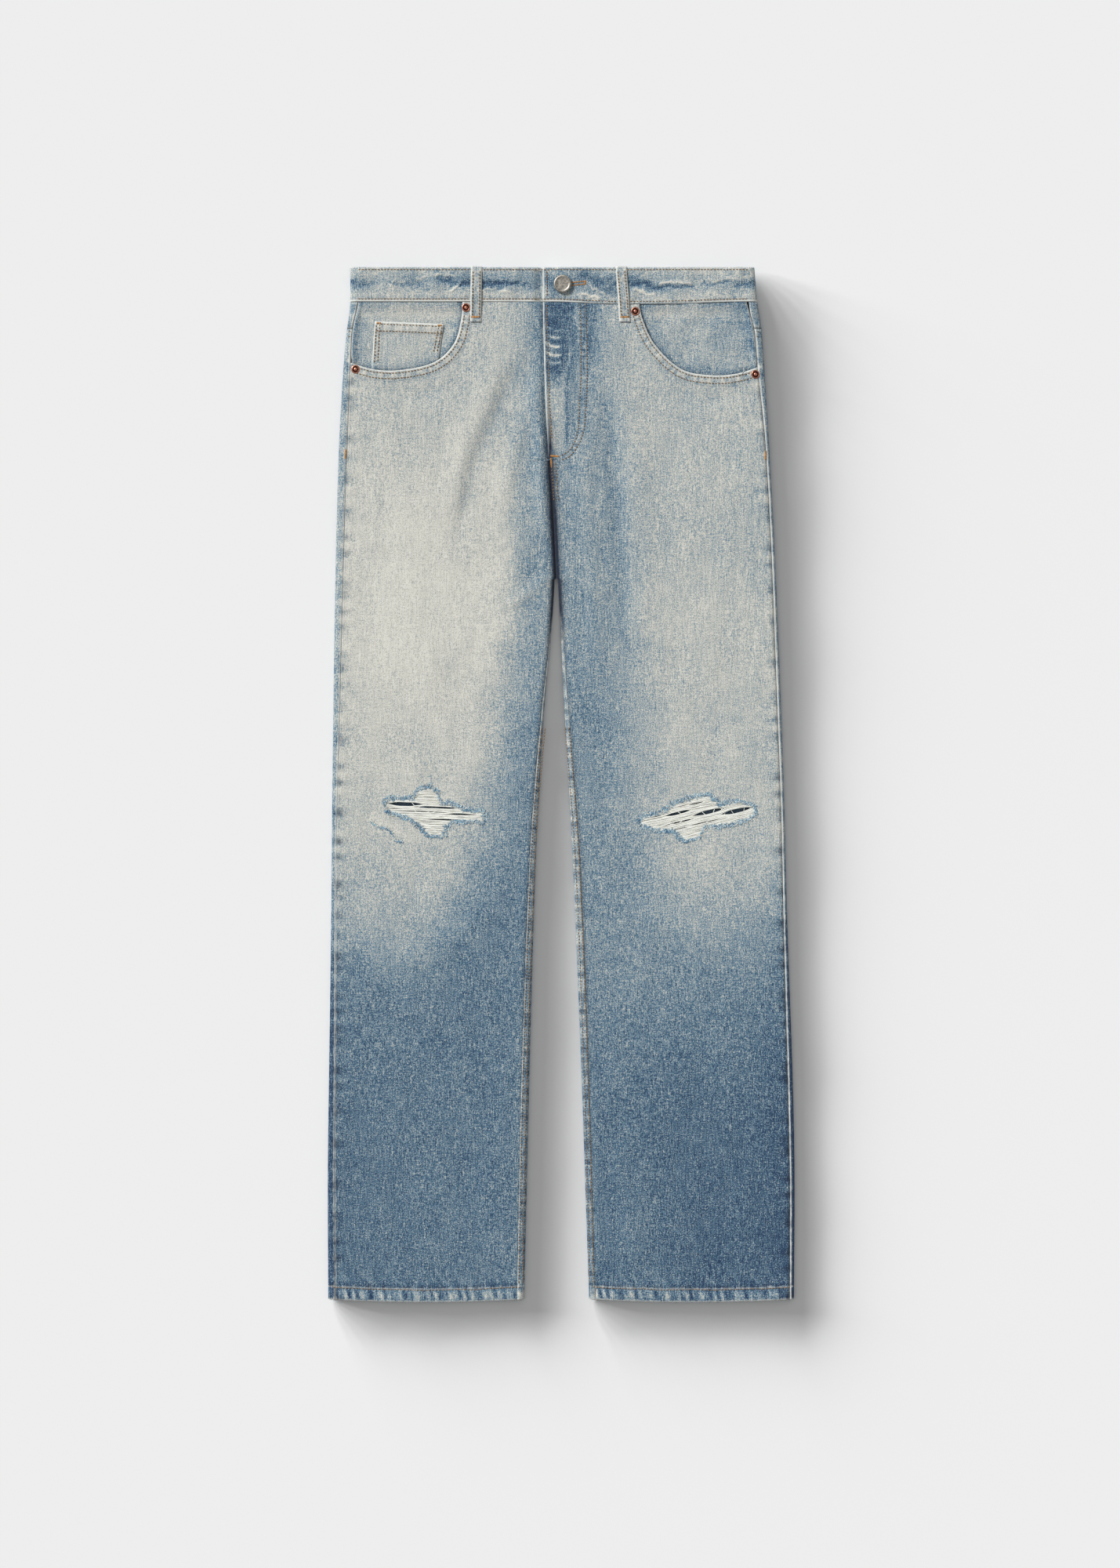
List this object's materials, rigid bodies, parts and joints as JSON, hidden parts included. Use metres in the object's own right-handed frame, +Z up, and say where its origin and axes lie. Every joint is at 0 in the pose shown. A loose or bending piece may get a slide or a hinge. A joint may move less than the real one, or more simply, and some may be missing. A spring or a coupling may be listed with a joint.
{
  "type": "ripped jeans",
  "caption": "Straight-leg five-pocket denim jeans laid flat on their back, faded, with frayed rips across both knees; waist buttoned and fly closed.",
  "frame": {"origin": "bottom centre of the garment's bounding box, on the surface it lies on", "axes": "+Y from the hems to the waist, +X to the wearer's left, +Z up out of the front"},
  "size_m": [0.4821, 1.068, 0.0133],
  "materials": {
    "denim_front": "washed twill, pale on thighs and knees, blue lower down",
    "denim_back": "washed twill, evenly faded blue",
    "denim_facing": "washed twill, pale",
    "denim_band": "washed twill, worn white along the edges",
    "bare_weft": "loose off-white cotton threads",
    "pewter": "aged grey metal, plain",
    "copper": "copper-coloured metal, worn bright on the nipple"
  },
  "bodies": {
    "root": {"front_right": "denim_front", "front_left": "denim_front", "back_right": "denim_back", "back_left": "denim_back", "yoke_right": "denim_back", "yoke_left": "denim_back", "pocket_facing_right": "denim_facing", "pocket_facing_left": "denim_facing", "back_pocket_right": "denim_back", "back_pocket_left": "denim_back", "rip_weft_right": "bare_weft", "rip_weft_left": "bare_weft", "waistband": "denim_band", "coin_pocket": "denim_facing", "belt_loop_front_right": "denim_band", "belt_loop_front_left": "denim_band", "belt_loop_back_right": "denim_band", "belt_loop_back_centre": "denim_band", "belt_loop_back_left": "denim_band", "waist_button": "pewter", "rivet_right_inner": "copper", "rivet_right_outer": "copper", "rivet_left_inner": "copper", "rivet_left_outer": "copper"}
  },
  "joints": []
}
